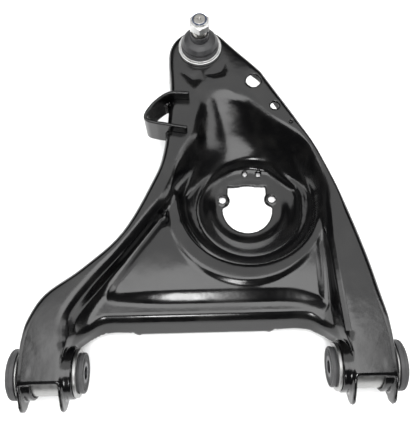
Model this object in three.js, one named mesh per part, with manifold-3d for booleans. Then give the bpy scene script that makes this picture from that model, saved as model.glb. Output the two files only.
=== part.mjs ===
// Front lower control arm of a light truck: a pressed-steel A-arm with a coil-spring pocket,
// a greasable ball joint at the nose and two bonded rubber bushings on one pivot axis.
// Millimetres. +X runs along the pivot axis, +Y points to the ball joint, +Z is up.
// The arm lies on its underside: Z = 0 is the plane that it rests on.
import * as THREE from 'three';
import { mergeVertices } from 'three/addons/utils/BufferGeometryUtils.js';
import Module from 'manifold-3d';

const wasm = await Module();
wasm.setup();

// ---------------------------------------------------------------- driving dimensions
const SHEET = 4;            // thickness of the arm's pressed sheet
const GAP = 0.3;            // clearance left between touching pieces
const TOP = 62;             // leg tops and nose pad
const PLATEAU = 47;         // raised panel round the spring pocket
const LEDGE = 34;           // low shelf behind the panel, and the gutter beside it
const PIT = 4;              // upper face of the pocket's bottom plate

const PIVOT = { x: 183, y: -204, z: 32 };      // centre of a bushing, on either side
const LEG_OUT = 208;        // outer face of a leg at its pivot end
const LEG_IN = 159;         // inner face of a leg at its pivot end
const LEG_END = -218;       // where the leg tops stop
const EAR_TIP = -246;       // end of the rounded tongues past the pivot
const REAR = -157;          // rear edge of the centre panel
const NOSE = { x: 0, y: 202, r: 44 };
const BALL = { x: 0, y: 210, z: 48 };          // centre of the ball, which the stud turns about

const POCKET = { x: 56, y: 3, r: 87 };         // rim of the spring pocket
const POCKET_LEDGE = { x: 52, y: -9, r: 96 };  // flat ring round the rim
const SEAT = { x: 58, y: -5, z: 24, r: 64, depth: 6, inner: 42 };
const SEAT_TILT = THREE.MathUtils.degToRad(12.4);
const SHOCK = { x: 57.5, y: 0, r: 32.5, tabY: 13, tabX: 32.5, tabR: 10, boltR: 4.5 };
const RAMP = { top: 161, foot: 65, drop: 50 }; // slope that runs from the nose into the pocket
const LINK = { x: 69, y: 159, r: 9.5, seat: 15, coin: 0.4 };   // stabilizer-link hole
const DRAIN = { x: 95, y: 121, r: 5.75 };
const COIL_MARKS = [{ x: 56, y: 49 }, { x: 74, y: 48 }];       // holes that show the coil's end

const COLLAR = { r: 28.5, bore: 24.5, length: 10.5 };
const SHELL = { r: 24.2, bore: 22, flangeR: 27, flange: 4 };
const RUBBER = { r: 21.7, outerR: 28.5, innerR: 22.5 };
const SLEEVE = { r: 12, bore: 7.25 };
const SLEEVE_OUT = -38.5;     // the sleeve's ends, from the pivot's middle towards the arm's middle
const SLEEVE_IN = 45;

const HOUSING = { rim: 28.5, r: 23.2, rimTop: TOP + 5, bottom: 30 };
const BALL_R = 15;
const STUD_TOP = TOP + 60;
const NUT = { flats: 24, bottom: TOP + 44, hexTop: TOP + 54.5, ringR: 9.7, bore: 8.3 };

const BRACKET = { sheet: 4, bottom: TOP - 31, top: TOP + 14 };

// ---------------------------------------------------------------- finishes
const finish = (color, roughness, metalness) =>
  new THREE.MeshStandardMaterial({ color, roughness, metalness });
const blackPaint = finish(0x1b1b1c, 0.32, 0.1);
const zinc = finish(0xc9cbca, 0.3, 0.9);
const steel = finish(0xa9a7a2, 0.4, 0.9);
const rubber = finish(0x3a3a3b, 0.75, 0);
const bootRubber = finish(0x2c2c2d, 0.6, 0);
const nylon = finish(0x38465e, 0.5, 0);
const acetal = finish(0xe6e2d6, 0.45, 0);

// ---------------------------------------------------------------- solids and booleans
function solid(geometry) {
  const bare = geometry.clone();
  bare.deleteAttribute('normal');
  bare.deleteAttribute('uv');
  const merged = mergeVertices(bare, 1e-3);
  return new wasm.Manifold(new wasm.Mesh({
    numProp: 3,
    vertProperties: new Float32Array(merged.attributes.position.array),
    triVerts: new Uint32Array(merged.index.array),
  }));
}

function geometryOf(body) {
  const mesh = body.getMesh();
  const geometry = new THREE.BufferGeometry();
  geometry.setAttribute('position', new THREE.BufferAttribute(mesh.vertProperties, 3));
  geometry.setIndex(new THREE.BufferAttribute(mesh.triVerts, 1));
  geometry.computeVertexNormals();
  return geometry;
}

const join = (first, ...rest) => rest.reduce((sum, piece) => sum.add(piece), first);
const cut = (first, ...rest) => rest.reduce((left, tool) => left.subtract(tool), first);

const box = (x0, x1, y0, y1, z0, z1) => solid(
  new THREE.BoxGeometry(x1 - x0, y1 - y0, z1 - z0)
    .translate((x0 + x1) / 2, (y0 + y1) / 2, (z0 + z1) / 2));

// A prism on a closed list of points, between two heights.
const prism = (points, z0, z1) => solid(
  new THREE.ExtrudeGeometry(new THREE.Shape(points), { depth: z1 - z0, bevelEnabled: false })
    .translate(0, 0, z0));

// A solid of revolution about +Z, from a closed profile of [radius, height] pairs.
function turned(profile, segments = 30) {
  const points = profile.map(([r, h]) => new THREE.Vector2(r, h));
  if (profile[0][0] > 0) {
    points.push(points[0].clone());
  }
  return new THREE.LatheGeometry(points, segments).rotateX(Math.PI / 2);
}

const alongX = (geometry) => geometry.rotateY(Math.PI / 2);
const disc = (c, r, z0, z1, segments = 40) =>
  solid(turned([[0, z0], [r, z0], [r, z1], [0, z1]], segments).translate(c.x, c.y, 0));
const tube = (outer, inner, from, to) => [[inner, from], [outer, from], [outer, to], [inner, to]];

// Moves each corner of a closed outline outwards by a distance, or inwards if it is negative.
function offset(points, distance) {
  const side = THREE.ShapeUtils.isClockWise(points) ? -distance : distance;
  return points.map((point, i) => {
    const before = points[(i + points.length - 1) % points.length];
    const after = points[(i + 1) % points.length];
    const a = point.clone().sub(before).normalize();
    const b = after.clone().sub(point).normalize();
    const miter = new THREE.Vector2(a.y + b.y, -a.x - b.x);
    return point.clone().addScaledVector(miter, (2 * side) / miter.lengthSq());
  });
}

// The space under a plane that falls or rises along Y, through (y0, z0) and (y1, z1).
function underPlane(y0, z0, y1, z1, depth = 200) {
  const slope = Math.atan((z1 - z0) / (y1 - y0));
  return solid(new THREE.BoxGeometry(900, 900, depth).translate(0, 0, -depth / 2)
    .rotateX(slope).translate(0, y0, z0));
}

// ---------------------------------------------------------------- outlines
const spots = (...pairs) => pairs.map(([x, y]) => new THREE.Vector2(x, y));
const closed = (path, divisions) => {
  const points = path.getPoints(divisions);
  return points.filter((p, i) => p.distanceTo(points[(i + 1) % points.length]) > 0.05);
};

function armOutline() {
  const path = new THREE.Path();
  path.moveTo(-LEG_OUT, LEG_END);
  path.lineTo(-LEG_OUT, -176);
  path.splineThru(spots([-203, -146], [-186, -116], [-145, -86], [-100, -44], [-66, 18],
    [-51, 60], [-42, 140]));
  path.lineTo(NOSE.x - NOSE.r, NOSE.y - 4);
  path.absarc(NOSE.x, NOSE.y, NOSE.r, Math.PI, 0.72, true);
  path.lineTo(82, 177);
  path.splineThru(spots([126, 101], [148, 59], [170, 0], [193, -80], [206, -140]));
  path.lineTo(LEG_OUT, -176);
  path.lineTo(LEG_OUT, LEG_END);
  path.lineTo(LEG_IN, LEG_END);
  path.lineTo(LEG_IN - 2, -184);
  path.quadraticCurveTo(150, REAR - 2, 112, REAR);
  path.lineTo(-116, REAR);
  path.quadraticCurveTo(-150, REAR - 2, -LEG_IN + 2, -184);
  path.lineTo(-LEG_IN, LEG_END);
  return closed(path, 4);
}

// The sunk area between the legs, from the nose down to beyond the rear edge.
function bayOutline() {
  const path = new THREE.Path();
  path.moveTo(-LEG_IN, LEG_END - 30);
  path.lineTo(-LEG_IN, -184);
  path.splineThru(spots([-158, -142], [-132, -106], [-99, -69], [-65, -26], [-41, 6],
    [-16, 59], [-4, 116], [-6, 150]));
  path.quadraticCurveTo(4, 166, 28, 168);
  path.splineThru(spots([58, 144], [88, 106], [123, 70], [141, 40], [146, -12], [150, -55],
    [153, -112], [LEG_IN - 2, -184]));
  path.lineTo(LEG_IN, LEG_END - 30);
  return closed(path, 3);
}

function plateauOutline() {
  const path = new THREE.Path();
  path.moveTo(-52, -34);
  path.lineTo(-106, -99);
  path.quadraticCurveTo(-118, -115, -100, -116);
  path.lineTo(90, -116);
  path.quadraticCurveTo(122, -116, 139, -128);
  path.lineTo(134, -30);
  path.lineTo(100, 0);
  return closed(path, 3);
}

// ---------------------------------------------------------------- the pressed arm
// The round well that the coil spring stands in, square to the tilted seat.
const seatWell = (shrink) => solid(
  turned([[0, -SEAT.depth - shrink], [SEAT.r + shrink, -SEAT.depth - shrink],
    [SEAT.r + shrink, 80], [0, 80]], 48)
    .rotateX(-SEAT_TILT).translate(SEAT.x, SEAT.y, SEAT.z));

// The body under the pressing's upper skin. With shrink = 0 it is the outer form; with the
// sheet's thickness it is the hollow inside, so that one minus the other leaves the sheet.
function pressedForm(shrink) {
  const level = (height) => height - shrink;
  const rise = 100 * Math.tan(SEAT_TILT);
  const terrace = underPlane(SEAT.y - 100, level(SEAT.z) + rise, SEAT.y + 100, level(SEAT.z) - rise);
  const ramp = underPlane(RAMP.top, level(TOP), RAMP.foot, level(TOP - RAMP.drop));
  const ledge = underPlane(-400, level(LEDGE), 400, level(LEDGE));
  const pitFloor = underPlane(-400, level(PIT), 400, level(PIT));
  const bay = prism(offset(bayOutline(), shrink), -80, TOP + 10);
  const plateau = join(
    prism(offset(plateauOutline(), -shrink), -80, level(PLATEAU)),
    disc(POCKET_LEDGE, POCKET_LEDGE.r - shrink, -80, level(PLATEAU)));
  const rimArea = disc(POCKET, POCKET.r + shrink, -80, TOP + 10);
  const valley = bay.intersect(box(-120, 200, 0, 200, -80, TOP + 10));
  const outline = offset(armOutline(), -shrink);
  let form = prism(outline, shrink ? -40 : 0, level(TOP));
  form = cut(form, cut(bay, ledge, ramp), cut(valley, terrace, ramp));
  form = form.add(cut(plateau, box(-200, 200, 20, 300, -90, 200)));
  form = cut(form,
    cut(rimArea, terrace, ramp),
    cut(seatWell(shrink), pitFloor, ramp),
    cut(disc(SHOCK, SEAT.inner + shrink, -80, TOP), pitFloor, ramp));
  return form.intersect(prism(outline, shrink ? -40 : 0, level(TOP)));
}

function earOutline(height) {
  const tipR = 10;
  const path = new THREE.Path();
  path.moveTo(LEG_END + 34, height);
  path.lineTo(LEG_END + 3, height);
  path.quadraticCurveTo(LEG_END - 8, height, EAR_TIP + 5, PIVOT.z + tipR - 1);
  path.absarc(EAR_TIP + tipR, PIVOT.z, tipR, 2.3, 3.98, false);
  path.quadraticCurveTo(LEG_END - 8, 0, LEG_END + 3, 0);
  path.lineTo(LEG_END + 34, 0);
  return closed(path, 8);
}

// A shape drawn in the YZ plane, extruded along X.
const plateAcross = (points, x0, x1) => solid(
  new THREE.ExtrudeGeometry(new THREE.Shape(points), { depth: x1 - x0, bevelEnabled: false })
    .rotateX(Math.PI / 2).rotateZ(Math.PI / 2).translate(x0, 0, 0));

const pivotTube = (side, outer, inner, from, to) => solid(
  alongX(turned(tube(outer, inner, Math.min(from, to), Math.max(from, to))))
    .translate(side * PIVOT.x, PIVOT.y, PIVOT.z));
const pivotRod = (side, r, from, to) => solid(
  alongX(turned([[0, from], [r, from], [r, to], [0, to]]))
    .translate(side * PIVOT.x, PIVOT.y, PIVOT.z));

function shockOpening() {
  const round = disc(SHOCK, SHOCK.r, -20, 40);
  const throat = box(SHOCK.x - 26, SHOCK.x + 26, 0, 31, -20, 40);
  const tabs = [-1, 1].map((side) => disc(
    { x: SHOCK.x + side * SHOCK.tabX, y: SHOCK.tabY }, SHOCK.tabR, -30, 50, 24));
  const bolts = [-1, 1].map((side) => disc(
    { x: SHOCK.x + side * SHOCK.tabX, y: SHOCK.tabY }, SHOCK.boltR, -20, 40, 20));
  return join(cut(join(round, throat), ...tabs), ...bolts);
}

function armShell() {
  let shell = pressedForm(0).subtract(pressedForm(SHEET));
  for (const side of [-1, 1]) {
    const [a, b] = [side * (LEG_IN + SHEET), side * (LEG_OUT - SHEET)].sort((p, q) => p - q);
    shell = shell.subtract(box(a, b, LEG_END - 10, LEG_END + 12, -10, TOP - SHEET));
  }
  shell = cut(shell,
    underPlane(70, 0, 250, 26),
    box(-152, 152, REAR - 20, REAR + SHEET + 1, -10, 7),
    disc(BALL, HOUSING.r + GAP, 40, TOP + 10),
    shockOpening(),
    disc(LINK, LINK.r, 40, TOP + 10, 32),
    disc(LINK, LINK.seat, TOP - LINK.coin, TOP + 10, 32),
    disc(DRAIN, DRAIN.r, 40, TOP + 10, 24),
    ...COIL_MARKS.map((mark) => disc(mark, 3, -20, 40, 16)));
  for (const side of [-1, 1]) {
    for (const face of [LEG_IN, LEG_OUT - SHEET]) {
      const [a, b] = [side * face, side * (face + SHEET)].sort((p, q) => p - q);
      shell = shell.add(plateAcross(earOutline(TOP - 1), a, b));
      const root = side * (face + SHEET / 2 - PIVOT.x);
      const tip = side * (face - COLLAR.length - PIVOT.x);
      shell = shell.add(pivotTube(side, COLLAR.r, COLLAR.bore, root, tip));
    }
    shell = shell.subtract(pivotRod(side, COLLAR.bore, -60, 60));
  }
  return shell;
}

// ---------------------------------------------------------------- bump-stop bracket
// A strip bent into a pointed loop and welded to the left leg at both ends.
function bracketStrip() {
  const middle = new THREE.Path();
  middle.moveTo(-19, 134);
  middle.splineThru(spots([-36, 135], [-47, 131], [-60, 120], [-68, 109]));
  middle.quadraticCurveTo(-74, 98, -64, 94);
  middle.splineThru(spots([-46, 90], [-22, 85]));
  return middle.getPoints(6);
}

function ribbon(points, width) {
  const half = width / 2;
  const sides = [half, -half].map((shift) => points.map((point, i) => {
    const before = points[Math.max(i - 1, 0)];
    const after = points[Math.min(i + 1, points.length - 1)];
    const along = after.clone().sub(before).normalize();
    return new THREE.Vector2(point.x - along.y * shift, point.y + along.x * shift);
  }));
  return [...sides[0], ...sides[1].reverse()];
}

function bumpStopBracket() {
  const middle = bracketStrip().filter((p, i, all) => i === 0 || p.distanceTo(all[i - 1]) > 0.05);
  const strip = prism(ribbon(middle, BRACKET.sheet), BRACKET.bottom, BRACKET.top);
  const legClear = prism(offset(armOutline(), GAP), -10, TOP + GAP);
  return strip.subtract(legClear);
}

// ---------------------------------------------------------------- ball joint
const atBall = (profile, segments = 30) =>
  turned(profile, segments).translate(BALL.x, BALL.y, 0);

// Points of a circle about the ball's centre, between two angles above the horizontal.
function ballArc(radius, from, to, steps) {
  return Array.from({ length: steps + 1 }, (_, i) => {
    const angle = THREE.MathUtils.degToRad(from + ((to - from) * i) / steps);
    return [radius * Math.cos(angle), BALL.z + radius * Math.sin(angle)];
  });
}

const housing = () => atBall([
  [19.5, HOUSING.bottom], [HOUSING.r, HOUSING.bottom], [HOUSING.r, TOP + GAP],
  [HOUSING.rim, TOP + GAP], [HOUSING.rim, HOUSING.rimTop - 1.5], [27, HOUSING.rimTop],
  [21, HOUSING.rimTop], [13.4, 58], [13.4, 56.5], [19.5, 53.5],
]);

const bearingSeat = () => atBall([
  [19.2, BALL.z - 11.5], [19.2, 53.2], [13.6, 56],
  ...ballArc(BALL_R + GAP, 28, -48, 10),
]);

const pressureWasher = () => atBall([
  ...ballArc(BALL_R + GAP, -53, -66, 2), [6, HOUSING.bottom + 3.1], [19, HOUSING.bottom + 3.1],
  [19, BALL.z - 11.9],
]);

const housingCover = () => atBall([
  [3.2, HOUSING.bottom - 1], [19.2, HOUSING.bottom - 1], [19.2, HOUSING.bottom + 2.8],
  [3.2, HOUSING.bottom + 2.8],
]);

const greaseFitting = () => atBall([
  [0, 16], [2.2, 17], [3.2, 19], [2.1, 21], [2.4, 22], [4.6, 22.2], [4.6, HOUSING.bottom - 1.3],
  [2.9, HOUSING.bottom - 1.3], [2.9, HOUSING.bottom + 2], [0, HOUSING.bottom + 2],
], 24);

const ballStud = () => atBall([
  [0, BALL.z - BALL_R],
  ...ballArc(BALL_R, -75, 62, 12),
  [7.4, 63], [7.6, 70], [10, 92], [8.8, NUT.bottom - 1], [8, NUT.bottom - 0.5],
  [8, STUD_TOP - 1.5], [6.6, STUD_TOP], [0, STUD_TOP],
]);

const dustBoot = () => atBall([
  [21.3, HOUSING.rimTop + GAP], [24.4, HOUSING.rimTop + GAP], [24.6, 70.5], [23.4, 72],
  [24.2, 74], [22.8, 79], [19, 83.5], [13.4, 86.2], [10.6, 86.2], [10.6, 83.2], [17, 81],
  [20.6, 77], [21.4, 73],
]);

const bootLowerRing = () => atBall([
  [24.9, HOUSING.rimTop + GAP], [26.6, HOUSING.rimTop + GAP], [26.6, HOUSING.rimTop + 2],
  [24.9, HOUSING.rimTop + 2],
]);

const bootUpperRing = () => atBall([
  [10.4, 86.6], [11.6, 86.6], [11.6, 95], [10.9, 96], [10.4, 96],
]);

function lockNut() {
  const corner = NUT.flats / Math.sqrt(3);
  const hex = new THREE.Shape(Array.from({ length: 6 }, (_, i) => new THREE.Vector2(
    corner * Math.cos((i + 0.5) * Math.PI / 3), corner * Math.sin((i + 0.5) * Math.PI / 3))));
  const height = NUT.hexTop - NUT.bottom;
  const blank = solid(new THREE.ExtrudeGeometry(hex, { depth: height, bevelEnabled: false })
    .translate(BALL.x, BALL.y, NUT.bottom));
  const chamfer = solid(atBall([
    [0, NUT.bottom], [12.4, NUT.bottom], [corner, NUT.bottom + 1.2], [corner, NUT.hexTop - 1.6],
    [11.6, NUT.hexTop], [NUT.ringR, NUT.hexTop], [NUT.ringR, STUD_TOP - 1], [9, STUD_TOP],
    [0, STUD_TOP],
  ]));
  const blankWithNeck = blank.add(disc(BALL, NUT.ringR, NUT.hexTop - 1, STUD_TOP));
  return cut(blankWithNeck.intersect(chamfer),
    disc(BALL, NUT.bore, NUT.bottom - 5, STUD_TOP + 5, 24),
    disc(BALL, 9.2, STUD_TOP - 4.2, STUD_TOP + 5, 24));
}

const nylonInsert = () => atBall(tube(8.9, 8.3, STUD_TOP - 3.9, STUD_TOP - 0.5), 24);

// ---------------------------------------------------------------- bushings
// Profiles run along the pivot axis from the bushing's middle towards the arm's middle.
const collarFace = PIVOT.x - LEG_IN + COLLAR.length;     // inner collar's end, from the middle
const earFace = PIVOT.x - LEG_OUT;                       // outer ear's outside face

const bushingShell = () => [
  [SHELL.bore, earFace - 0.7], [SHELL.r, earFace - 0.7], [SHELL.r, collarFace + GAP],
  [SHELL.flangeR, collarFace + GAP], [SHELL.flangeR, collarFace + GAP + SHELL.flange - 1],
  [SHELL.flangeR - 1, collarFace + GAP + SHELL.flange], [SHELL.bore, collarFace + SHELL.flange],
];

const endWasher = () => tube(27, 12.5, earFace - 3.4, earFace - 1);

const bushingRubber = () => [
  [SLEEVE.r + GAP, earFace - 0.7], [RUBBER.r, earFace - 0.7], [RUBBER.r, collarFace + 4.8],
  [RUBBER.innerR, collarFace + 5.4], [RUBBER.innerR, SLEEVE_IN - 1.5],
  [RUBBER.innerR - 2, SLEEVE_IN], [SLEEVE.r + GAP, SLEEVE_IN],
];

const outerBumper = () => [
  [SLEEVE.r + GAP, SLEEVE_OUT], [25, SLEEVE_OUT], [27.8, SLEEVE_OUT + 1.5],
  [RUBBER.outerR, SLEEVE_OUT + 3.5], [RUBBER.outerR, earFace - 3.7], [SLEEVE.r + GAP, earFace - 3.7],
];

const innerSleeve = () => tube(SLEEVE.r, SLEEVE.bore, SLEEVE_OUT, SLEEVE_IN);

// ---------------------------------------------------------------- the assembly
const arm = new THREE.Group();

function add(name, geometry, material) {
  const mesh = new THREE.Mesh(geometry, material);
  mesh.name = name;
  arm.add(mesh);
  return mesh;
}

add('arm_shell', geometryOf(armShell()), blackPaint);
add('bump_stop_bracket', geometryOf(bumpStopBracket()), blackPaint);
add('ball_joint_housing', housing(), zinc);
add('bearing_seat', bearingSeat(), acetal);
add('pressure_washer', pressureWasher(), steel);
add('housing_cover', housingCover(), zinc);
add('grease_fitting', greaseFitting(), zinc);
add('ball_stud', ballStud(), steel);
add('dust_boot', dustBoot(), bootRubber);
add('boot_lower_ring', bootLowerRing(), zinc);
add('boot_upper_ring', bootUpperRing(), bootRubber);
add('lock_nut', geometryOf(lockNut()), zinc);
add('nylon_insert', nylonInsert(), nylon);

for (const [end, side] of [['left', -1], ['right', 1]]) {
  const pieces = [
    ['shell', bushingShell(), zinc],
    ['end_washer', endWasher(), zinc],
    ['rubber', bushingRubber(), rubber],
    ['bumper', outerBumper(), rubber],
    ['inner_sleeve', innerSleeve(), steel],
  ];
  for (const [piece, profile, material] of pieces) {
    const mesh = add(`${end}_bushing_${piece}`, alongX(turned(profile)), material);
    mesh.position.set(side * PIVOT.x, PIVOT.y, PIVOT.z);
    mesh.rotation.z = side > 0 ? Math.PI : 0;
  }
}

export default arm;
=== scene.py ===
"""Front lower control arm of a light truck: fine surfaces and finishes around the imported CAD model.

The pressed arm is described as a solid form with rounded corners, of which only the outer sheet is
kept. The form is a signed distance in millimetres, negative inside; surface() turns it into quads.
The turned pieces are lathed from rounded profiles. Meshes are in metres.
"""
import math

import bpy
import bmesh
import numpy as np
from mathutils import Matrix, Vector


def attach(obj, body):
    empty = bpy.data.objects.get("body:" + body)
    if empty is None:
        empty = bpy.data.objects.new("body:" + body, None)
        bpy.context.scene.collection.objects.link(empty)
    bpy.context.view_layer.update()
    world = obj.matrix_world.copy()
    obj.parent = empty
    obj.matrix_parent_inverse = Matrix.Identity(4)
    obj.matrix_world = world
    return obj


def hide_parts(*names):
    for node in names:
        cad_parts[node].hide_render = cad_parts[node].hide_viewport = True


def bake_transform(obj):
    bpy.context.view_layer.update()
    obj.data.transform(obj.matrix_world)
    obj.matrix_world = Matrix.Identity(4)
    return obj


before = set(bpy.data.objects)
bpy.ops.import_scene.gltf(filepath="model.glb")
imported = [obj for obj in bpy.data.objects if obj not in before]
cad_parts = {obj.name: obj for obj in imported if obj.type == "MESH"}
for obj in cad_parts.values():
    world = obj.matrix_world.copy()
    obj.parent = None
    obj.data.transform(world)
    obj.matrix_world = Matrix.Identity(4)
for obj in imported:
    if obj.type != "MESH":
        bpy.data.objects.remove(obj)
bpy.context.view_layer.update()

MM = 0.001

# ------------------------------------------------------------ sizes in millimetres
SHEET = 4.0                 # thickness of the pressed sheet
TOP = 62.0                  # leg tops and nose pad
PLATEAU = 47.0              # raised panel round the spring pocket
LEDGE = 34.0                # shelf behind the panel, and the gutter beside it
PIT = 4.0                   # upper face of the pocket's bottom plate

PIVOT = (183.0, -204.0, 32.0)
LEG_OUT, LEG_IN = 208.0, 159.0
LEG_END, EAR_TIP, REAR = -218.0, -246.0, -161.0
NOSE = (0.0, 202.0, 44.0)
BALL = (0.0, 210.0, 48.0)

POCKET = (56.0, 3.0, 87.0)          # x, y, radius of the spring pocket's rim
POCKET_LEDGE = (52.0, -9.0, 96.0)   # the flat ring round the pocket
SEAT = (58.0, -5.0, 24.0)           # middle of the tilted ring that the coil spring sits on
SEAT_R, SEAT_DEPTH, SEAT_INNER, SEAT_TILT = 64.0, 6.5, 43.0, math.radians(12.4)
SHOCK = (57.5, 0.0)          # middle of the shock opening
BOLT_X, BOLT_Y = 32.5, 13.0 # the shock's bolt holes, from the opening's middle
LINK_HOLE, DRAIN_HOLE = (69.0, 159.0, 9.5), (95.0, 121.0, 5.75)
GAUGE_HOLE = (114, 97, 2)
RAMP_TOP, RAMP_SLOPE = 161, 50 / 96     # where the valley starts, and its fall towards the pocket
LIP_OUT, LIP_HALF, LIP_HIGH = 3, 3.2, 2.2   # raised edge of the spring seat
DART_DEPTH = 3.5
WALL_CUT = 23               # how much shorter the side wall is beside the link hole
COIL_MARKS = [(56.0, 49.0, 3.0), (74.0, 48.0, 3.0)]
COLLAR_R, COLLAR_BORE, COLLAR_LENGTH = 28.5, 24.5, 10.5

SLEEVE_OUT, SLEEVE_IN = -38.5, 45   # the sleeve's ends, from the pivot's middle to the arm's
SLEEVE_R, SLEEVE_BORE = 12.0, 7.25
STUD_TOP = TOP + 60
NUT_FLATS, NUT_BOTTOM, NUT_HEX_TOP = 24.0, TOP + 44, TOP + 54.5
STRIP, STRIP_LOW, STRIP_HIGH = 4.0, TOP - 31, TOP + 14   # bump-stop bracket

GRID = 2.0                  # spacing of the grid that the pressing is meshed on


# ------------------------------------------------------------ signed distances
def join_round(a, b, r):
    """Union of two forms with a concave fillet of radius r between them."""
    return np.maximum(r, np.minimum(a, b)) - np.hypot(np.maximum(r - a, 0), np.maximum(r - b, 0))


def keep_round(a, b, r):
    """What two forms share, with a convex fillet of radius r where their faces meet."""
    return np.minimum(-r, np.maximum(a, b)) + np.hypot(np.maximum(r + a, 0), np.maximum(r + b, 0))


def ease(value, start, end):
    """0 before start and 1 after end, with a smooth change between."""
    t = np.clip((value - start) / (end - start), 0, 1)
    return t * t * (3 - 2 * t)


def curve(*points, steps=6):
    """Points along a smooth curve (Catmull-Rom) through the points given."""
    p = np.array(points, float)
    p = np.vstack([2 * p[0] - p[1], p, 2 * p[-1] - p[-2]])
    t = np.linspace(0, 1, steps, endpoint=False)[:, None]
    out = []
    for a, b, c, d in zip(p, p[1:], p[2:], p[3:]):
        out.append(b + (c - a) / 2 * t + (a - 2.5 * b + 2 * c - d / 2) * t ** 2
                   + (1.5 * (b - c) + (d - a) / 2) * t ** 3)
    return [tuple(q) for q in np.vstack([*out, p[-2:-1]])]


def arc(x, y, r, start, end, steps=16):
    angles = np.radians(np.linspace(start, end, steps + 1))
    return [(x + r * math.cos(a), y + r * math.sin(a)) for a in angles]


def to_outline(outline, x, y):
    """Signed distance in a plane to a closed outline."""
    corners = np.array(outline, float)
    best, inside = np.full(np.broadcast(x, y).shape, 1e9), np.zeros(np.broadcast(x, y).shape, bool)
    for (ax, ay), (bx, by) in zip(corners, np.roll(corners, -1, 0)):
        ex, ey = bx - ax, by - ay
        t = np.clip(((x - ax) * ex + (y - ay) * ey) / (ex * ex + ey * ey), 0, 1)
        best = np.minimum(best, (x - ax - t * ex) ** 2 + (y - ay - t * ey) ** 2)
        if ay != by:
            inside ^= ((ay > y) != (by > y)) & (x < ax + (y - ay) * ex / ey)
    return np.where(inside, -1, 1) * np.sqrt(best)


def looked_up(outline, low, high, step=1.0, soften=0, kept=4):
    """The same distance as a function, sampled once on a plane grid so that it is quick to read.

    soften rounds off the creases further inside than kept, where the nearest edge changes."""
    xs, ys = np.arange(low[0], high[0], step), np.arange(low[1], high[1], step)
    table = to_outline(outline, xs[:, None], ys[None, :])
    soft = table.copy()
    for _ in range(soften):
        soft[1:-1, 1:-1] = (soft[:-2, 1:-1] + soft[2:, 1:-1] + soft[1:-1, :-2] + soft[1:-1, 2:]) / 4
    table += (soft - table) * ease(-table, kept, kept + 10)

    def distance(x, y):
        u = np.clip((x - low[0]) / step, 0, len(xs) - 1.001)
        v = np.clip((y - low[1]) / step, 0, len(ys) - 1.001)
        i, j = u.astype(int), v.astype(int)
        u, v = u - i, v - j
        return ((table[i, j] * (1 - u) + table[i + 1, j] * u) * (1 - v)
                + (table[i, j + 1] * (1 - u) + table[i + 1, j + 1] * u) * v)
    return distance


def true_distance(form, x, y, z, e=0.2):
    """The form divided by its steepness, so that its levels are evenly spaced."""
    value = form(x, y, z)
    steepness = np.sqrt((form(x + e, y, z) - value) ** 2 + (form(x, y + e, z) - value) ** 2
                        + (form(x, y, z + e) - value) ** 2) / e
    return value / np.clip(steepness, 0.6, 2.5)


CORNERS = [(i, j, k) for i in (0, 1) for j in (0, 1) for k in (0, 1)]
EDGES = [(a, b) for a in CORNERS for b in CORNERS if a < b and sum(np.abs(np.subtract(a, b))) == 1]


def surface(form, low, high, step, polish=3):
    """Vertices and quads of the surface where form(x, y, z) is zero (naive surface nets).

    The vertices are then evened out and moved along the slope until they lie on the surface."""
    axes = [np.arange(low[k], high[k] + step, step) for k in range(3)]
    field = form(axes[0][:, None, None], axes[1][None, :, None], axes[2][None, None, :])
    inside = field < 0
    size = np.array(field.shape) - 1
    count = sum(inside[i:size[0] + i, j:size[1] + j, k:size[2] + k].astype(np.int8)
                for i, j, k in CORNERS)
    cells = np.argwhere((count > 0) & (count < 8))
    index = np.full(size, -1)
    index[tuple(cells.T)] = np.arange(len(cells))
    total, hits = np.zeros((len(cells), 3)), np.zeros((len(cells), 1))
    for a, b in EDGES:
        va, vb = field[tuple((cells + a).T)], field[tuple((cells + b).T)]
        crossed = (va < 0) != (vb < 0)
        t = np.where(crossed, va / np.where(crossed, va - vb, 1), 0)[:, None]
        total += np.where(crossed[:, None], np.array(a) + t * np.subtract(b, a), 0)
        hits += crossed[:, None]
    points = (cells + total / hits) * step + [a[0] for a in axes]
    quads = []
    for axis in range(3):
        one, two = (axis + 1) % 3, (axis + 2) % 3
        near, far = [slice(1, -1)] * 3, [slice(1, -1)] * 3
        near[axis], far[axis] = slice(0, -1), slice(1, None)
        leaving = inside[tuple(near)] & ~inside[tuple(far)]
        entering = ~inside[tuple(near)] & inside[tuple(far)]
        for found, turn in ((leaving, 1), (entering, -1)):
            at = np.argwhere(found)
            at[:, one] += 1
            at[:, two] += 1
            ring = []
            for u, v in ((-1, -1), (0, -1), (0, 0), (-1, 0))[::turn]:
                cell = at.copy()
                cell[:, one] += u
                cell[:, two] += v
                ring.append(index[tuple(cell.T)])
            quads.append(np.stack(ring, 1))
    quads = np.vstack(quads)
    sides = np.vstack([quads[:, [k, (k + 1) % 4]] for k in range(4)])
    share = np.bincount(sides.ravel(), minlength=len(points))
    for _ in range(polish):
        around = np.stack([np.bincount(sides[:, 0], points[sides[:, 1], k], len(points))
                           + np.bincount(sides[:, 1], points[sides[:, 0], k], len(points))
                           for k in range(3)], 1) / share[:, None]
        points += (around - points) * 0.6
        x, y, z = points.T
        value, e = form(x, y, z), 0.25
        slope = np.stack([form(x + e, y, z) - value, form(x, y + e, z) - value,
                          form(x, y, z + e) - value], 1) / e
        move = -value[:, None] * slope / np.maximum((slope ** 2).sum(1), 0.2)[:, None]
        reach = np.linalg.norm(move, axis=1, keepdims=True)
        points += move * np.minimum(1, 0.5 * step / np.maximum(reach, 1e-9))
    return points, quads


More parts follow.
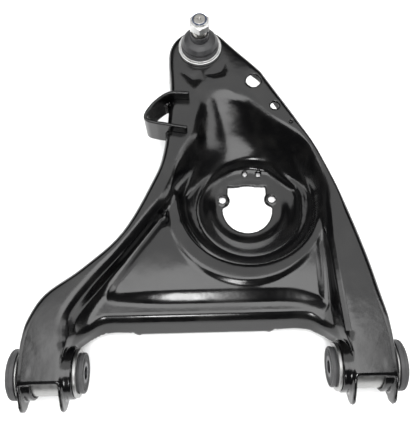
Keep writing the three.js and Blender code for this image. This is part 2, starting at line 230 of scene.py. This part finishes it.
# ------------------------------------------------------------ the pressed arm
def arm_outline():
    """The arm seen from above, with the legs drawn on past the ends of the ears."""
    return [(-LEG_OUT, EAR_TIP - 20), (-LEG_OUT, -184),
            *curve((-207.5, -172), (-203, -146), (-186, -116), (-145, -86), (-100, -44), (-66, 18),
                   (-51, 60), (-42.5, 140), (-44, 190)),
            *arc(*NOSE, 180, 41),
            (82, 177),
            *curve((97, 151), (126, 101), (148, 59), (170, 0), (193, -80), (205, -140), (207.5, -170)),
            (LEG_OUT, -184), (LEG_OUT, EAR_TIP - 20),
            (LEG_IN, EAR_TIP - 20), (LEG_IN, -190),
            *curve((157, -183), (151, -174), (136, -165), (112, REAR), (90, REAR)),
            *curve((-92, REAR), (-116, REAR), (-138, -165), (-151, -174), (-157, -183)),
            (-LEG_IN, -190), (-LEG_IN, EAR_TIP - 20)]


def bay_outline():
    """The sunk area between the legs, at the height of the leg tops."""
    return [(-140, EAR_TIP - 20), (-148, -200),
            *curve((-158, -172), (-157, -142), (-132, -106), (-99, -69), (-65, -26), (-41, 6), (-16, 59),
                   (-4, 116), (-6, 146), (4, 162), (26, 170), (44, 158), (58, 144), (88, 106),
                   (123, 70), (141, 40), (146, -12), (150, -55), (153, -112), (157, -168)),
            (148, -200), (140, EAR_TIP - 20)]


def plateau_outline():
    return [(-52, -34), (-104, -97), *curve((-110, -106), (-111, -114), (-103, -118), (-92, -118)),
            (84, -118), *curve((96, -118.5), (112, -121), (139, -130)), (137, -30), (100, 0)]


PLAN_LOW, PLAN_HIGH = (-240, -275), (241, 261)
ARM_PLAN = looked_up(arm_outline(), PLAN_LOW, PLAN_HIGH)
BAY_PLAN = looked_up(bay_outline(), PLAN_LOW, PLAN_HIGH, soften=500)
PLATEAU_PLAN = looked_up(plateau_outline(), PLAN_LOW, PLAN_HIGH)


def sloped(distance, rise, slope):
    """A wall that leans: its plan distance changes by slope for each millimetre of rise."""
    return (distance + rise * slope) / np.sqrt(1 + slope ** 2)


def seat_frame(x, y, z):
    """Place across and along the spring seat, and height above it, in the tilted seat's own frame."""
    c, s = math.cos(SEAT_TILT), math.sin(SEAT_TILT)
    return x - SEAT[0], (y - SEAT[1]) * c - (z - SEAT[2]) * s, (y - SEAT[1]) * s + (z - SEAT[2]) * c


def seat_outline():
    """Round, apart from the corner where the coil's end stops."""
    return [*arc(0, 0, SEAT_R, 72, 348, 60), (65, 4), (66, 18), (62, 29), (46, 44), (31, 57.5), (25, 60.3)]


SEAT_PLAN = looked_up(seat_outline(), (-100, -100), (101, 101), soften=12, kept=-90)
DARTS = [looked_up(dart, (-60, 120), (70, 220)) for dart in (
    [(-24, 174), (-12, 171), (-2, 173), (0, 162), (-8, 152), (-14, 158)],
    [(9, 170), (22, 180), (33, 188), (34, 178), (30, 169), (18, 167)])]


def outer_form(x, y, z):
    """The arm's outside walls and its top, before anything is sunk into it."""
    rear = ease(-y, 105, 150) * ease(-np.abs(x), -160, -118)
    lean = (1 - rear) * 0.06 * ease(y, -170, -110) + rear * 0.59
    foot = (1 - rear) * 26 + rear * 7
    wall = sloped(ARM_PLAN(x, y), z - foot, lean)
    return keep_round(wall, z - TOP, 4.5 + 3.5 * ease(y, -190, -120))


def pressed_form(x, y, z):
    """Signed distance of everything under the arm's upper skin.

    In turn: the walls of the area between the legs, the shelf in it, the raised panel and the ring
    round the pocket, the pocket with the valley that runs into it, the dents and the spring seat."""
    form = outer_form(x, y, z)
    valley = ease(y, 0, 75)
    bay_wall = sloped(-BAY_PLAN(x, y), z - TOP, 0.36 + 0.3 * valley)
    rim = sloped(POCKET[2] - np.hypot(x - POCKET[0], y - POCKET[1]), z - PLATEAU, 0.25 + 0.4 * valley)
    seat_x, seat_y, seat_z = seat_frame(x, y, z)
    ramp = (z - TOP + (RAMP_TOP - y) * RAMP_SLOPE) / math.hypot(1, RAMP_SLOPE)
    deep = join_round(seat_z, ramp, 30)
    deep_wall = -join_round(-rim, keep_round(-bay_wall, 8 - y, 6), 9)
    shallow = join_round(np.minimum(bay_wall, 16 - y), z - LEDGE, 10)
    form = keep_round(form, shallow, 9)
    sag = 5 * np.clip((-y - 62) / 56, 0, 1.2) ** 2 + 4 * np.clip((-20 - x) / 80, 0, 1) ** 2
    panel_top = z - PLATEAU + 0.5 + sag
    panel = sloped(PLATEAU_PLAN(x, y) - 4, panel_top + 4, 0.75)
    form = join_round(form, keep_round(panel, panel_top, 6), 8)
    ring = np.hypot(x - POCKET_LEDGE[0], y - POCKET_LEDGE[1]) - POCKET_LEDGE[2]
    pad = sloped(ring, z - PLATEAU, 0.5) + 40 * ease(y, 0, 60)
    form = join_round(form, keep_round(pad, z - PLATEAU, 2.5), 5)

    form = keep_round(form, join_round(deep_wall, deep, 8 + 18 * valley), 3 + 4 * valley)
    for dart in DARTS:
        form = keep_round(form, join_round(sloped(-dart(x, y), z - TOP, 1.2), z - TOP + DART_DEPTH, 4), 3)
    edge = SEAT_PLAN(seat_x, seat_y)
    lip = keep_round(np.abs(edge - LIP_OUT) - LIP_HALF, seat_z - LIP_HIGH, 2.4)
    form = join_round(form, np.maximum(lip, -seat_z - 12), 3.5)
    well = sloped(-edge, seat_z, 0.45)
    well_floor = join_round(seat_z + SEAT_DEPTH, z - PIT, 8)
    form = keep_round(form, join_round(well, well_floor, 5), 3)
    inner = sloped(SEAT_INNER - np.hypot(x - SHOCK[0], y - SHOCK[1]), z - PIT, 1.0)
    form = keep_round(form, join_round(inner, z - PIT, 7), 9)
    for u in (-BOLT_X, BOLT_X):
        boss = np.hypot(x - SHOCK[0] - u, y - SHOCK[1] - BOLT_Y) - 7
        form = join_round(form, keep_round(boss, np.abs(z - PIT) - 1.2, 1), 1.5)
    return form


def shock_opening(x, y):
    """Plan of the hole in the pocket's bottom plate, with its two bolt tabs."""
    u, v = np.abs(x - SHOCK[0]), y - SHOCK[1]
    hole = join_round(np.hypot(u, v) - 32.5, np.maximum(u - 25, np.abs(v - 14) - 17), 3)
    from_bolt = np.hypot(u - BOLT_X, v - BOLT_Y)
    hole = keep_round(hole, 10 - from_bolt, 3)
    return np.minimum(hole, from_bolt - 4.5)


def ear_outline():
    z = PIVOT[2]
    return [(-100, -10), (-100, 75), (LEG_END + 3, 75), (LEG_END + 2.5, TOP - 1),
            *curve((LEG_END - 5, TOP - 4), (LEG_END - 12, z + 21.5)),
            *arc(EAR_TIP + 17, z, 17, 118, 242, 16),
            *curve((LEG_END - 12, z - 21.5), (LEG_END - 5, 4)),
            (LEG_END + 3, 0), (-130, 0), (-120, -10)]


EAR_PLAN = looked_up(ear_outline(), (-270, -20), (-99, 80))


def arm_sheet(x, y, z):
    """Signed distance of the finished pressing."""
    form = true_distance(pressed_form, x, y, z)
    thickness = SHEET + 1.2 * ease(y, 15, 55) * (1 - ease(y, 140, 165))
    sheet = keep_round(form, -form - thickness, 0.8)
    side = np.abs(x)
    flange = 7 + 4 * ease(np.abs(x + 3), 79, 86)
    rear = ease(-y, 130, 140) * ease(-side, -157, -150)
    bottom = np.maximum(np.maximum(0.1, (y - 70) * 26 / 180), rear * flange)
    bottom = bottom + WALL_CUT * ease(x, 20, 50) * ease(y, 30, 125) * (1 - ease(y, 160, 230))
    sheet = keep_round(sheet, bottom - z, 1.6)
    mouth = np.maximum(np.abs(side - (LEG_IN + LEG_OUT) / 2) - (LEG_OUT - LEG_IN) / 2 + SHEET, y - LEG_END)
    sheet = keep_round(sheet, -mouth, 1.5)
    in_legs = np.maximum(-y - 300, y + 150)
    ears = EAR_PLAN(np.broadcast_to(y, np.broadcast(y, z).shape), z + 0 * y)
    sheet = keep_round(sheet, np.where(in_legs < 0, ears, -50), 1.6)

    axis = np.hypot(y - PIVOT[1], z - PIVOT[2])
    for face in (LEG_IN, LEG_OUT - SHEET):
        along = np.maximum(face - COLLAR_LENGTH - side, side - face - SHEET / 2)
        collar = keep_round(axis - COLLAR_R, along, 1.5)
        sheet = join_round(sheet, np.where(y < -150, collar, 50), 2.5)
    sheet = keep_round(sheet, np.minimum(COLLAR_BORE - axis, -150 - y), 1.2)

    holes = [BALL[:2] + (23.5,), LINK_HOLE, DRAIN_HOLE, GAUGE_HOLE]
    for hx, hy, r in holes:
        sheet = keep_round(sheet, np.minimum(r - np.hypot(x - hx, y - hy), z - 35), 0.8)
    for hx, hy, r in COIL_MARKS:
        sheet = keep_round(sheet, r - np.hypot(x - hx, y - hy), 0.6)
    return keep_round(sheet, np.minimum(-shock_opening(x, y), 20 - z), 1.2)


# ------------------------------------------------------------ bump-stop bracket
def strip_path():
    """Middle line of the bent strip, seen from above."""
    return [*curve((-17, 134), (-36, 135), (-47, 131), (-60, 120), (-68, 109)),
            *curve((-70.5, 103.5), (-70.6, 98.6), (-67, 95), (-62, 93.4)),
            *curve((-56, 91.8), (-46, 90), (-34, 87.2), (-20, 84.6))]


def bracket_form(strip_plan):
    def form(x, y, z):
        middle = (STRIP_LOW + STRIP_HIGH) / 2
        high = np.abs(z - middle) - (STRIP_HIGH - STRIP_LOW) / 2
        strip = keep_round(strip_plan(x, y) - STRIP / 2, high, 1.2)
        strip = keep_round(strip, 0.2 - outer_form(x, y, z), 0.8)
        for seam_x, seam_y in ((-44.5, 129.5), (-47.5, 93.2)):
            bead = 2.6 + 0.5 * np.cos(z * 2.1 + seam_y)
            seam = np.maximum(np.hypot(x - seam_x, y - seam_y) - bead, np.abs(z - 46) - 11)
            strip = join_round(strip, keep_round(seam, 0.2 - outer_form(x, y, z), 0.5), 1.2)
        return strip
    return form


# ------------------------------------------------------------ mesh helpers
def new_piece(name, points, faces, body, material, slot, stands_for=()):
    """A smooth piece from points in millimetres, riding on a CAD body."""
    mesh = bpy.data.meshes.new(name)
    mesh.from_pydata((np.asarray(points) * MM).tolist(), [], np.asarray(faces).tolist())
    tidy = bmesh.new()
    tidy.from_mesh(mesh)
    bmesh.ops.remove_doubles(tidy, verts=tidy.verts, dist=1e-7)
    bmesh.ops.recalc_face_normals(tidy, faces=tidy.faces)
    tidy.to_mesh(mesh)
    tidy.free()
    mesh.shade_smooth()
    mesh.materials.append(material)
    piece = bpy.data.objects.new(name, mesh)
    bpy.context.scene.collection.objects.link(piece)
    if body:
        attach(piece, body)
    if stands_for:
        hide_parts(*stands_for)
    return piece


def rounded(corners, closed=True):
    """A profile whose corners, given as (radius, height, rounding), are turned into small arcs."""
    out = []
    count = len(corners)
    for i, (r, h, size) in enumerate(corners):
        here = np.array([r, h], float)
        if size <= 0 or (not closed and i in (0, count - 1)):
            out.append(tuple(here))
            continue
        before, after = np.array(corners[i - 1][:2]) - here, np.array(corners[(i + 1) % count][:2]) - here
        a, b = before / np.linalg.norm(before), after / np.linalg.norm(after)
        half = math.acos(np.clip(a @ b, -1, 1)) / 2
        reach = size / math.tan(half)
        reach = min(reach, 0.48 * np.linalg.norm(before), 0.48 * np.linalg.norm(after))
        for t in np.linspace(0, 1, 6):
            out.append(tuple(here + a * reach * (1 - t) ** 2 + b * reach * t ** 2))
    return out


def turned(name, profile, place, body, material, slot, stands_for=(), segments=96):
    """A solid of revolution from (radius, height) pairs in millimetres, put in its place."""
    points, faces, count = [], [], len(profile)
    on_axis = profile[0][0] == 0
    for k in range(segments):
        angle = 2 * math.pi * k / segments
        c, s = math.cos(angle), math.sin(angle)
        points += [place @ Vector((r * c, r * s, h)) for r, h in profile]
        for i in range(count - on_axis):
            j, n = (i + 1) % count, (k + 1) % segments
            faces.append((k * count + i, n * count + i, n * count + j, k * count + j))
    piece = new_piece(name, [tuple(p) for p in points], faces, body, material, slot, stands_for)
    even = piece.modifiers.new("even_shading", "WEIGHTED_NORMAL")
    even.keep_sharp = False
    return piece


AT_BALL = Matrix.Translation((BALL[0], BALL[1], 0))


def at_pivot(side):
    """From a bushing's own axis, pointing to the arm's middle, to its place on the pivot axis."""
    turn = Matrix(((0, 0, -side, 0), (side, 0, 0, 0), (0, -1, 0, 0), (0, 0, 0, 1)))
    return Matrix.Translation((side * PIVOT[0], PIVOT[1], PIVOT[2])) @ turn


# ------------------------------------------------------------ materials
def finish(name, color, roughness, metallic=0.0):
    """A Principled material with its nodes and links, to build on."""
    material = bpy.data.materials.new(name)
    material.use_nodes = True
    shader = material.node_tree.nodes["Principled BSDF"]
    shader.inputs["Base Color"].default_value = (*color, 1)
    shader.inputs["Roughness"].default_value = roughness
    shader.inputs["Metallic"].default_value = metallic
    return material


def add_node(material, kind, **values):
    """A new node, whose values are set on its sockets where it has them, or else on the node."""
    node = material.node_tree.nodes.new(kind)
    for key, value in values.items():
        if key in node.inputs:
            node.inputs[key].default_value = value
        else:
            setattr(node, key, value)
    return node


def noise(material, scale, detail=4.0, stretch=(1, 1, 1)):
    """Noise in the part's own coordinates, in metres."""
    place = add_node(material, "ShaderNodeTexCoord")
    spread = add_node(material, "ShaderNodeMapping")
    spread.inputs["Scale"].default_value = stretch
    grain = add_node(material, "ShaderNodeTexNoise", Scale=scale, Detail=detail)
    link(material, place.outputs["Object"], spread.inputs["Vector"])
    link(material, spread.outputs["Vector"], grain.inputs["Vector"])
    return grain.outputs["Fac"]


def link(material, output, target):
    material.node_tree.links.new(output, target)


def ranged(material, source, low, high, start=0.3, end=0.7):
    """Maps a 0 to 1 pattern to a range of values."""
    node = add_node(material, "ShaderNodeMapRange")
    for key, value in (("From Min", start), ("From Max", end), ("To Min", low), ("To Max", high)):
        node.inputs[key].default_value = value
    link(material, source, node.inputs["Value"])
    return node.outputs["Result"]


def blended(material, factor, first, second):
    """A colour between two, by a factor."""
    node = add_node(material, "ShaderNodeMix", data_type="RGBA")
    link(material, factor, node.inputs["Factor"])
    node.inputs["A"].default_value = (*first, 1)
    node.inputs["B"].default_value = (*second, 1)
    return node.outputs["Result"]


def bump(material, *layers):
    """Stacks bumps, each a pattern with its height in metres, and feeds them to the shader."""
    shader = material.node_tree.nodes["Principled BSDF"]
    normal = None
    for pattern, height in layers:
        node = add_node(material, "ShaderNodeBump", Distance=height)
        link(material, pattern, node.inputs["Height"])
        if normal:
            link(material, normal, node.inputs["Normal"])
        normal = node.outputs["Normal"]
    link(material, normal, shader.inputs["Normal"])


def black_paint():
    """Dipped gloss black paint: slight orange peel, uneven gloss and a trace of dust."""
    m = finish("black_paint_fine", (0.003, 0.003, 0.0032), 0.2)
    shader = m.node_tree.nodes["Principled BSDF"]
    patches = noise(m, 22, 5)
    fine = noise(m, 420, 3)
    link(m, ranged(m, patches, 0.11, 0.23), shader.inputs["Roughness"])
    dust = ranged(m, noise(m, 45, 8), 0, 1, 0.48, 0.75)
    link(m, blended(m, dust, (0.0014, 0.0014, 0.0016), (0.005, 0.0048, 0.0046)),
         shader.inputs["Base Color"])
    bump(m, (noise(m, 60, 2), 0.00022), (fine, 0.00002))
    return m


def zinc_plate(name="zinc_plate_fine", color=(0.80, 0.80, 0.79)):
    """Plated steel: a cloudy satin metal."""
    m = finish(name, color, 0.4, 1.0)
    shader = m.node_tree.nodes["Principled BSDF"]
    cloud = noise(m, 160, 5)
    link(m, ranged(m, cloud, 0.3, 0.5), shader.inputs["Roughness"])
    darker = tuple(0.75 * c for c in color)
    link(m, blended(m, ranged(m, cloud, 0, 1), darker, color), shader.inputs["Base Color"])
    bump(m, (noise(m, 900, 2), 0.00002))
    return m


def bare_steel(name="bare_steel_fine", color=(0.42, 0.41, 0.39), roughness=0.34):
    """Turned steel with fine rings round its axis and a thin oil film's uneven gloss."""
    m = finish(name, color, roughness, 1.0)
    shader = m.node_tree.nodes["Principled BSDF"]
    cloud = noise(m, 220, 4)
    link(m, ranged(m, cloud, roughness - 0.1, roughness + 0.12), shader.inputs["Roughness"])
    darker = tuple(0.7 * c for c in color)
    link(m, blended(m, ranged(m, cloud, 0, 1), darker, color), shader.inputs["Base Color"])
    bump(m, (noise(m, 1500, 1, (0.05, 0.05, 1)), 0.00002))
    return m


def moulded_rubber(name, color, roughness, grain):
    """Moulded rubber: a matt skin with fine grain and a faint bloom."""
    m = finish(name, color, roughness)
    shader = m.node_tree.nodes["Principled BSDF"]
    bloom = noise(m, 130, 6)
    link(m, ranged(m, bloom, roughness - 0.08, roughness + 0.1), shader.inputs["Roughness"])
    paler = tuple(1.7 * c for c in color)
    link(m, blended(m, ranged(m, bloom, 0, 1), color, paler), shader.inputs["Base Color"])
    bump(m, (noise(m, 300, 3), 0.00015), (noise(m, 1400, 2), grain))
    return m


def plastic(name, color, roughness):
    """Moulded plastic with faint flow marks."""
    m = finish(name, color, roughness)
    shader = m.node_tree.nodes["Principled BSDF"]
    flow = noise(m, 180, 4)
    link(m, ranged(m, flow, roughness - 0.08, roughness + 0.08), shader.inputs["Roughness"])
    link(m, blended(m, ranged(m, flow, 0, 1), color, tuple(0.8 * c for c in color)),
         shader.inputs["Base Color"])
    bump(m, (noise(m, 900, 2), 0.00003))
    return m


PAINT, ZINC, STEEL = black_paint(), zinc_plate(), bare_steel()
# Zinc with painted shade: the same plating as the ball joint's, darkened to stand in for the shade and
# dark reflections on the bushing ends
SHADED_ZINC = zinc_plate("zinc_painted_shade", (0.34, 0.34, 0.335))
DARK_STEEL = bare_steel("phosphate_steel", (0.10, 0.10, 0.105), 0.45)
RUBBER = moulded_rubber("bushing_rubber_fine", (0.030, 0.030, 0.031), 0.62, 0.00006)
BOOT_RUBBER = moulded_rubber("boot_rubber_fine", (0.020, 0.020, 0.021), 0.42, 0.00002)
NYLON = plastic("blue_nylon_fine", (0.035, 0.06, 0.13), 0.42)
ACETAL = plastic("acetal_fine", (0.78, 0.75, 0.66), 0.4)


# ------------------------------------------------------------ the pieces
def build_pressing():
    points, quads = surface(arm_sheet, (-212, -250, -3), (212, 250, 66), GRID)
    new_piece("arm_pressing", points, quads, "arm", PAINT, "black_paint", ["arm_shell"])


def build_bracket():
    path = strip_path()
    plan = looked_up(path + path[-2:0:-1], (-80, 75), (0, 145), 0.5)
    points, quads = surface(bracket_form(plan), (-76, 78, 28), (-10, 142, 80), 1.0)
    new_piece("bump_stop_strip", points, quads, "arm", PAINT, "black_paint", ["bump_stop_bracket"])


def build_bushing(end, side):
    place = at_pivot(side)
    collar_end = PIVOT[0] - LEG_IN + COLLAR_LENGTH
    ear_face = PIVOT[0] - LEG_OUT

    def piece(name, corners, body, material, slot):
        node = f"{end}_bushing_{name}"
        return turned(f"{node}_fine", rounded(corners), place, body, material, slot, [node])

    # The shell and the end washer wear the darkened zinc, whose colour holds painted shade
    piece("shell", [(22, ear_face - 0.7, 0.4), (24.2, ear_face - 0.7, 0.4), (24.2, collar_end + 0.3, 0),
                    (27, collar_end + 0.3, 1), (27, collar_end + 4.3, 1.6), (22, collar_end + 4.3, 1)],
          "arm", SHADED_ZINC, "zinc_plate")
    piece("end_washer", [(12.5, ear_face - 3.4, 0.4), (27, ear_face - 3.4, 1), (27, ear_face - 1, 1),
                         (12.5, ear_face - 1, 0.4)], "arm", SHADED_ZINC, "zinc_plate")
    inner = [(12.3, ear_face - 0.7, 0.2), (21.7, ear_face - 0.7, 0.2), (21.7, collar_end + 4.6, 0.2),
             (20.6, collar_end + 4.9, 0.3), (20.6, collar_end + 6, 0.4), (22.5, collar_end + 6.6, 0.6),
             (22.5, SLEEVE_IN, 1.6)]
    outer = [(12.3, SLEEVE_OUT, 0.2), *rings(SLEEVE_OUT, 1.0, (14.8, 17.8, 20.8)),
             (24.6, SLEEVE_OUT, 2), (28.0, SLEEVE_OUT + 1.9, 1.4), (28.5, SLEEVE_OUT + 4, 1),
             (27.9, SLEEVE_OUT + 4.9, 0.4), (28.5, SLEEVE_OUT + 5.8, 0.8), (28.5, ear_face - 3.7, 1),
             (12.3, ear_face - 3.7, 0.2)]
    piece("rubber", [*inner, *rings(SLEEVE_IN, -1.1, (19.2, 16.8, 14.4)), (12.3, SLEEVE_IN, 0.3)],
          "arm", RUBBER, "bushing_rubber")
    piece("bumper", outer, "arm", RUBBER, "bushing_rubber")
    piece("inner_sleeve", [(SLEEVE_BORE, SLEEVE_OUT, 0.8), (SLEEVE_R, SLEEVE_OUT, 0.6),
                           (SLEEVE_R, SLEEVE_IN, 0.6), (SLEEVE_BORE, SLEEVE_IN, 0.8)],
          f"{end}_sleeve", DARK_STEEL, "bare_steel")


def rings(face, depth, radii):
    """Shallow moulded grooves in the end face of a rubber, from the profile's first radius on."""
    return [corner for r in radii for corner in (
        (r - np.sign(depth) * 0.8, face, 0.3), (r - np.sign(depth) * 0.4, face + depth, 0.3),
        (r + np.sign(depth) * 0.4, face + depth, 0.3), (r + np.sign(depth) * 0.8, face, 0.3))]


def build_ball_joint():
    rim_top = TOP + 5
    turned("ball_joint_body", rounded([
        (19.5, 30, 0.4), (23.2, 30, 1), (23.2, TOP + 0.3, 0), (28.5, TOP + 0.3, 0.8), (28.5, rim_top, 1.1),
        (26.8, rim_top, 0.6), (25.9, rim_top - 1.1, 0.6), (21, rim_top - 0.2, 0.8), (13.4, 58, 0.8),
        (13.4, 56.5, 0.3), (19.5, 53.5, 0.5)]), AT_BALL, "arm", ZINC, "zinc_plate", ["ball_joint_housing"])
    turned("housing_cover_fine", rounded([
        (3.2, 29, 0.3), (8, 29, 0.5), (9, 30, 0.5), (15, 30, 0.5), (16, 29, 0.5), (19.2, 29, 0.8),
        (19.2, 32.8, 0.3), (3.2, 32.8, 0.3)]), AT_BALL, "arm", ZINC, "zinc_plate", ["housing_cover"])
    turned("grease_fitting_fine", rounded([
        (0, 16, 0), (1.6, 16.1, 0.4), (3.2, 18.4, 0.8), (3.2, 19.6, 0.6), (2.1, 21, 0.4), (2.4, 22, 0.3),
        (4.6, 22.2, 0.4), (4.6, 28.7, 0.4), (2.9, 28.7, 0.2), (2.9, 32, 0.2), (0, 32, 0)], closed=False),
        AT_BALL, "arm", ZINC, "zinc_plate", ["grease_fitting"], 48)
    turned("boot_clamp_ring", rounded([
        (24.9, rim_top + 0.3, 0.3), (26.6, rim_top + 0.3, 0.8), (26.6, rim_top + 2, 0.8),
        (24.9, rim_top + 2, 0.3)]), AT_BALL, "arm", ZINC, "zinc_plate", ["boot_lower_ring"])
    turned("boot_neck_collar", rounded([
        (10.4, 86.6, 0.3), (11.6, 86.6, 0.8), (11.3, 89, 0.6), (11.7, 91, 0.8), (11.5, 95, 1.2),
        (10.4, 96, 0.3)]), AT_BALL, "boot_collar", BOOT_RUBBER, "boot_rubber", ["boot_upper_ring"])
    build_stud()
    build_nut()
    turned("nylon_ring", rounded([
        (8.3, STUD_TOP - 3.9, 0.2), (8.9, STUD_TOP - 3.9, 0.2), (8.9, STUD_TOP - 0.3, 0.2),
        (8.3, STUD_TOP - 0.3, 0.2)]), AT_BALL, "stud", NYLON, "blue_nylon", ["nylon_insert"])


def build_stud():
    """Ball, neck and taper, then the threaded end with a centre dimple."""
    ball = [(15 * math.cos(a), BALL[2] + 15 * math.sin(a)) for a in np.radians(np.linspace(-90, 61, 40))]
    ball[0] = (0, ball[0][1])
    shank = rounded([(7.4, 62, 0), (7.4, 63.5, 1), (7.6, 70, 3), (10, 92, 2), (9.1, 101, 0.6),
                     (7.4, 101.8, 0.4)], closed=False)
    thread = []
    pitch = 1.5
    for turn in range(13):
        low = 102.4 + turn * pitch
        thread += [(7.3, low), (7.3, low + 0.25), (8.0, low + 0.7), (8.0, low + 0.95)]
    tip = rounded([(7.4, STUD_TOP - 0.1, 0), (6.8, STUD_TOP, 0.3), (2.4, STUD_TOP, 0.3),
                   (0.8, STUD_TOP - 1.6, 0.3), (0, STUD_TOP - 1.7, 0)], closed=False)
    turned("ball_stud_fine", ball + shank + thread + tip, AT_BALL, "stud", STEEL, "bare_steel",
           ["ball_stud"])


def nut_form(x, y, z):
    """Hexagon with chamfered corners, and a round collar that holds the nylon ring."""
    u, v = x - BALL[0], y - BALL[1]
    flats = -1e9
    for k in range(3):
        a = math.radians(60 * k)
        flats = np.maximum(flats, np.abs(u * math.cos(a) + v * math.sin(a)) - NUT_FLATS / 2)
    r = np.hypot(u, v)
    cone = np.maximum((r - 12.6 + (z - NUT_HEX_TOP) * 1.9) / 2.15,
                      (r - 13.2 - (z - NUT_BOTTOM) * 1.9) / 2.15)
    hexagon = keep_round(keep_round(flats, np.maximum(NUT_BOTTOM - z, z - NUT_HEX_TOP), 0.5), cone, 0.3)
    collar = keep_round(r - 9.7, np.maximum(NUT_BOTTOM + 2 - z, z - STUD_TOP), 1.6)
    nut = join_round(hexagon, collar, 1.2)
    bore = np.where(z < STUD_TOP - 4.2, 8.3, 9.2)
    return keep_round(nut, bore - r, 0.3)


def build_nut():
    points, quads = surface(nut_form, (-16, 194, 104), (16, 226, 124), 0.5)
    new_piece("lock_nut_fine", points, quads, "stud", ZINC, "zinc_plate", ["lock_nut"])


BOOT_SEAM = 75.5            # height where the boot's lower and upper halves meet


def build_boot():
    """The boot is turned as a lower and an upper half, which meet at BOOT_SEAM."""
    outer = rounded([
        (24.4, 67.3, 0), (24.6, 69.8, 0.5), (23.2, 70.6, 0.5), (23.2, 71.4, 0.5), (24.6, 72.2, 0.7),
        (24.6, 73.2, 0.7), (23.6, 74.0, 0.4), (24.0, BOOT_SEAM, 0), (23.2, 78.2, 3), (20.2, 82.6, 4),
        (15.5, 85.4, 2), (12.4, 86.4, 1.2), (10.8, 86.4, 0)], closed=False)
    inner = rounded([(10.8, 86.4, 0), (10.8, 83.4, 0.3), (16.6, 81.4, 2), (20.2, 77.4, 2),
                     (21.2, BOOT_SEAM, 0), (21.4, 73, 1), (21.3, 67.3, 0)], closed=False)
    seam_out = next(i for i, p in enumerate(outer) if p == (24.0, BOOT_SEAM))
    seam_in = next(i for i, p in enumerate(inner) if p == (21.2, BOOT_SEAM))
    lower = outer[:seam_out + 1] + inner[seam_in:]
    upper = outer[seam_out:] + inner[1:seam_in + 1]
    for name, profile, bodies, heights in (
            ("dust_boot_base", lower, ("arm", "boot"), (68.5, 75.0)),
            ("dust_boot_dome", upper, ("boot", "boot_collar"), (76.0, 82.6))):
        half = turned(name, profile, AT_BALL, None, BOOT_RUBBER, "boot_rubber", ["dust_boot"], 128)
        start, end = [(BALL[0] * MM, BALL[1] * MM, h * MM) for h in heights]
        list(bodies)
        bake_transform(half)
        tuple(start)
        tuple(end)


def dress_hidden_nodes():
    """The pieces inside the ball joint keep their CAD shape."""
    for node, material in (("bearing_seat", ACETAL), ("pressure_washer", STEEL)):
        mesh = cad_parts[node].data
        mesh.materials.clear()
        mesh.materials.append(material)


# ------------------------------------------------------------ camera, light and floor
VIEW_ELEVATION, VIEW_TURN = math.radians(70), math.radians(1.42)
VIEW_TARGET = Vector((5, -24, TOP)) * MM
VIEW_DISTANCE = 0.654


def place_camera():
    ahead = Vector((math.sin(VIEW_TURN) * math.cos(VIEW_ELEVATION),
                    math.cos(VIEW_TURN) * math.cos(VIEW_ELEVATION), -math.sin(VIEW_ELEVATION)))
    data = bpy.data.cameras.new("camera")
    data.lens = 46.3
    data.clip_start, data.clip_end = 0.01, 20
    camera = bpy.data.objects.new("camera", data)
    camera.location = VIEW_TARGET - ahead * VIEW_DISTANCE
    camera.rotation_mode = "QUATERNION"
    camera.rotation_quaternion = ahead.to_track_quat("-Z", "Y")
    bpy.context.scene.collection.objects.link(camera)
    bpy.context.scene.camera = camera


def area_light(name, place, target, width, height, power):
    data = bpy.data.lights.new(name, "AREA")
    data.shape, data.size, data.size_y, data.energy = "RECTANGLE", width, height, power
    light = bpy.data.objects.new(name, data)
    light.location = place
    light.rotation_euler = (Vector(target) - Vector(place)).to_track_quat("-Z", "Y").to_euler()
    bpy.context.scene.collection.objects.link(light)


def light_studio():
    """A pale room that only shows in the paint where a lamp is: reflections of the room stay dark."""
    world = bpy.data.worlds.new("studio")
    world.use_nodes = True
    nodes, links = world.node_tree.nodes, world.node_tree.links
    nodes["Background"].inputs["Color"].default_value = (1, 1, 1, 1)
    nodes["Background"].inputs["Strength"].default_value = 0.05
    pale = nodes.new("ShaderNodeBackground")
    pale.inputs["Color"].default_value = (0.93, 0.93, 0.93, 1)
    ray, choice = nodes.new("ShaderNodeLightPath"), nodes.new("ShaderNodeMixShader")
    links.new(ray.outputs["Is Glossy Ray"], choice.inputs["Fac"])
    links.new(pale.outputs["Background"], choice.inputs[1])
    links.new(nodes["Background"].outputs["Background"], choice.inputs[2])
    links.new(choice.outputs["Shader"], nodes["World Output"].inputs["Surface"])
    bpy.context.scene.world = world
    area_light("overhead", (0.0, -0.28, 1.3), (0.0, -0.28, 0), 1.16, 0.64, 12)
    area_light("ceiling", (0.0, 0.64, 1.35), (0, 0.6, 0), 2.4, 1.2, 16)
    area_light("left", (-1.2, 0.0, 0.9), (0, 0, 0), 0.35, 1.4, 5)
    area_light("right", (1.2, 0.0, 0.9), (0, 0, 0), 0.35, 1.4, 5)
    area_light("low_front", (-0.1, -1.1, 0.9), (0, 0, 0), 0.25, 0.25, 5)
    bpy.context.scene.view_settings.view_transform = "Standard"


FLOOR = 8.0                 # half the floor's side, in metres


def lay_floor():
    mesh = bpy.data.meshes.new("floor")
    corners = [(-FLOOR, -FLOOR, 0), (FLOOR, -FLOOR, 0), (FLOOR, FLOOR, 0), (-FLOOR, FLOOR, 0)]
    mesh.from_pydata(corners, [], [(0, 1, 2, 3)])
    floor = bpy.data.objects.new("floor", mesh)
    bpy.context.scene.collection.objects.link(floor)
    material = bpy.data.materials.new("pale_floor")
    material.use_nodes = True
    shader = material.node_tree.nodes["Principled BSDF"]
    shader.inputs["Base Color"].default_value = (0.9, 0.9, 0.9, 1)
    shader.inputs["Roughness"].default_value = 0.8
    mesh.materials.append(material)


place_camera()
light_studio()
lay_floor()
build_pressing()
build_bracket()
build_bushing("left", -1)
build_bushing("right", 1)
build_ball_joint()
build_boot()
dress_hidden_nodes()
